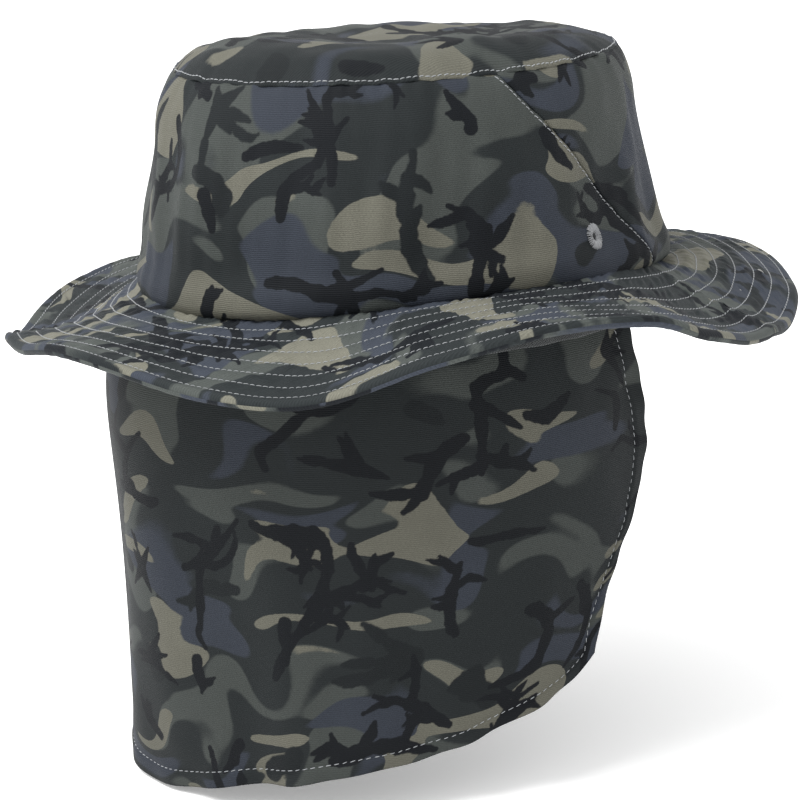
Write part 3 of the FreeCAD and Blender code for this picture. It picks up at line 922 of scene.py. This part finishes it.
def brim_face(turn, distance, depth, under):
    """Quilted face of the brim, on top or underneath."""
    spot = brim(turn, distance, 0)
    fading = np.clip((BRIM_WIDTH - distance) / EDGE_FADE, 0, 1) ** 0.5
    edge = np.clip((distance - (BRIM_WIDTH - 4.5)) / 2.0, 0, 1) * fading
    lift = quilting(turn, distance) * fading + 0.35 * edge
    lift -= 0.9 * np.exp(-np.maximum(distance, 0) / 1.2)
    spot[..., 2] += np.where(under, -(BRIM_THICK - depth) - lift * 0.8, lift - depth)
    return spot


def make_brim(materials):
    seam = math.radians(SIDE_SEAM_FOOT)
    gap = BRIM_SEAM_GAP / BRIM_SEAM_RADIUS
    distance, depth = brim_section(rows=92)
    halves = (("front", -seam + gap, seam - gap, 300), ("back", seam + gap, TURN - seam - gap, 780))
    for half, start, end, columns in halves:
        turn, out = grid(spread(start, end, columns), distance)
        turn, low = grid(spread(start, end, columns), depth)
        for layer, under in (("top", False), ("under", True)):
            points = brim_face(turn, out, low, under)
            flat = points[..., :2] + (0, UNDER_PRINT_SHIFT * under)
            fields = print_fields(flat, 400 + 50 * under + 10 * (half == "back"))
            ply = cloth(f"brim_{layer}_cloth_{half}", points, BRIM_PLY, flat, fields, flip=not under)
            finish_piece(ply, materials["brim"], "brim_cloth", "root", f"brim_{layer}_{half}")


def make_brim_core(materials):
    around = spread(0, TURN, 721)
    turn, out = grid(around[:-1], spread(CORE_START, BRIM_WIDTH - CORE_INSET, 60))
    top = brim_face(turn, out, 0 * out, False)
    top[..., 2] -= CORE_DEPTH
    thickness = BRIM_THICK - 2 * CORE_DEPTH + 1.4 * quilting(turn, out)
    flat = np.stack(grid(around * CORE_RADIUS, out[0]), -1)
    core = cloth("brim_core_felt", top, thickness, flat, closed=True, flip=True)
    finish_piece(core, materials["core"], "brim_core", "root", "brim_stiffener")


def make_brim_stitching(materials):
    turn = spread(0, TURN, 2400)[:-1]
    step = 0.25
    for row in range(ROWS):
        wander = 0.22 * noise(oval(turn, 30, 0), 26.0, 80 + row)
        out = FIRST_ROW + ROW_PITCH * row + wander
        points = brim_face(turn, out, 0 * out, False)
        outwards = brim_face(turn, out + step, 0 * out, False) - brim_face(turn, out - step, 0 * out, False)
        along = np.roll(points, -1, 0) - np.roll(points, 1, 0)
        normal = unit(np.cross(outwards, along))
        thread = stitches(f"brim_stitches_{row + 1}", points, normal, closed=True, seed=10 + row)
        finish_piece(thread, materials["thread"], "thread", "root", f"brim_stitch_row_{row + 1}")


def make_cape(materials):
    columns, rows = 620, 240
    side, fall = grid(spread(-1, 1, columns), spread(0.002, 1, rows) ** 1.05)
    points = cape(side, fall, 0)
    flat = np.stack([side * CAPE_PRINT_REACH, -points[..., 2]], -1)
    thickness = 0.6 + hem_step(from_cape_edge(side, fall), HEM_THICKNESS)
    piece = cloth("cape_cloth", points, thickness, flat, print_fields(flat, 500, bare=0.75))
    finish_piece(piece, materials["cape"], "cape_cloth", None, "neck_cape")
    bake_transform(piece)
    return piece


def cape_line(side, fall):
    """Line on the cape and its outward normals."""
    step = 0.002
    across = cape(side + step, fall, 0) - cape(side - step, fall, 0)
    down = cape(side, fall + step, 0) - cape(side, fall - step, 0)
    return cape(side, fall, 0), unit(np.cross(across, down))


def make_cape_stitching(materials):
    """One row along the hem and up both front edges."""
    edge_side, edge_fall = 1 - HEM / CAPE_REACH, 1 - HEM / (CAPE_LENGTH * CAPE_DROP)
    start, up_places, hem_places = 0.05, 400, 1200
    down = spread(start, edge_fall, up_places)
    falls = np.concatenate([down, np.full(hem_places, edge_fall), spread(edge_fall, start, up_places)])
    sides = np.concatenate([np.full(up_places, -edge_side), spread(-edge_side, edge_side, hem_places),
                            np.full(up_places, edge_side)])
    points, normal = cape_line(sides, falls)
    thread = stitches("cape_hem_stitches", points, normal, pitch=2.8, dash=2.2, radius=0.15, seed=30)
    finish_piece(thread, materials["thread"], "thread", None, "cape_hem_stitch")
    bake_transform(thread)
    return thread


def make_binding(materials):
    """Tape over the cape's sewn edge, standing proud of the cape."""
    side, fall = grid(spread(-1, 1, 500), spread(0, 1, 26))
    points = cape(side, fall * BINDING_WIDTH / CAPE_LENGTH, 0)
    points = points + grid_normals(points) * 0.5
    flat = np.stack([side * CAPE_REACH, fall * BINDING_WIDTH], -1)
    strip = cloth("cape_binding_strip", points, TAPE_THICK, flat)
    finish_piece(strip, materials["tape"], "cape_cloth", "root", "cape_top_binding")


# ---------------------------------------------------------------- studio
FLOOR_GAP = 0.0015               # metres under the CAD model's lowest point
KEY_PLACE = (-1.4, -0.1, 2.1)
KEY_SIZE = 1.7
KEY_POWER = 76


def make_studio():
    bpy.ops.mesh.primitive_plane_add(size=30, location=(0, 0, cad_box[0].z - FLOOR_GAP))
    floor = bpy.context.object
    floor.name = "studio_floor"
    material, _, shader = new_material("pale_floor")
    shader.inputs["Base Color"].default_value = (0.96, 0.96, 0.96, 1)
    shader.inputs["Roughness"].default_value = 0.9
    shader.inputs["Specular IOR Level"].default_value = 0.1
    shader.inputs["Emission Color"].default_value = (1, 1, 1, 1)
    shader.inputs["Emission Strength"].default_value = 0.2
    floor.data.materials.append(material)
    world = bpy.data.worlds.new("studio")
    bpy.context.scene.world = world
    world.use_nodes = True
    background = world.node_tree.nodes["Background"]
    background.inputs["Color"].default_value = (1, 1, 1, 1)
    background.inputs["Strength"].default_value = 1.2
    view = bpy.context.scene.view_settings
    view.view_transform = "Standard"
    view.look = "None"


def make_key_light():
    """One soft light from above, aimed at the origin."""
    light = bpy.data.lights.new("key", "AREA")
    light.shape = "DISK"
    light.size = KEY_SIZE
    light.energy = KEY_POWER
    thing = bpy.data.objects.new("key", light)
    bpy.context.collection.objects.link(thing)
    thing.location = KEY_PLACE
    thing.rotation_euler = (-Vector(KEY_PLACE)).to_track_quat("-Z", "Y").to_euler()


CAMERA_AZIMUTH = -30.0
CAMERA_RISE = 11.14
CAMERA_DISTANCE = 1.2
CAMERA_LENS = 148.8
CAMERA_AIM = (-0.0081, -0.0064, -0.0488)
CAMERA_ROLL = 2.25


def make_camera():
    azimuth, rise = math.radians(CAMERA_AZIMUTH), math.radians(CAMERA_RISE)
    back = Vector((math.sin(azimuth) * math.cos(rise), -math.cos(azimuth) * math.cos(rise), math.sin(rise)))
    camera = bpy.data.cameras.new("camera")
    camera.lens = CAMERA_LENS
    camera.sensor_width = 36.0
    thing = bpy.data.objects.new("camera", camera)
    bpy.context.collection.objects.link(thing)
    thing.location = back * CAMERA_DISTANCE
    look = (thing.location - Vector(CAMERA_AIM)).to_track_quat("Z", "Y")
    roll = Matrix.Rotation(math.radians(-CAMERA_ROLL), 3, "Z").to_quaternion()
    thing.rotation_euler = (look @ roll).to_euler()
    bpy.context.scene.camera = thing


def main():
    make_camera()
    make_studio()
    make_key_light()
    # the brim and cape are lit and shaded copies of the crown's printed cloth: the brim's colour is painted
    # lighter (painted light) and the cape's painted darker (painted shade under the brim).
    materials = {
        "crown": printed_cloth("camo_crown", 1.0),
        "brim": printed_cloth("camo_brim_painted_light", 1.4, fuzz=0.8),
        "cape": printed_cloth("camo_cape_painted_shade", 0.8),
        "thread": sewing_thread("grey_thread", (0.24, 0.25, 0.26)),
        "eyelet": sewing_thread("eyelet_thread", (0.21, 0.215, 0.225)),
        "tape": woven("bias_tape", (0.030, 0.033, 0.034)),
        "band": woven("brushed_band", (0.026, 0.028, 0.032), thread=1.3, sheen=0.4),
        "core": woven("felt_core", (0.30, 0.30, 0.29), thread=0.7, roughness=0.95),
    }
    make_crown(materials)
    make_crown_stitching(materials)
    make_tapes(materials)
    make_sweatband(materials)
    make_eyelets(materials)
    make_brim(materials)
    make_brim_core(materials)
    make_brim_stitching(materials)
    piece = make_cape(materials)
    thread = make_cape_stitching(materials)
    make_binding(materials)


main()
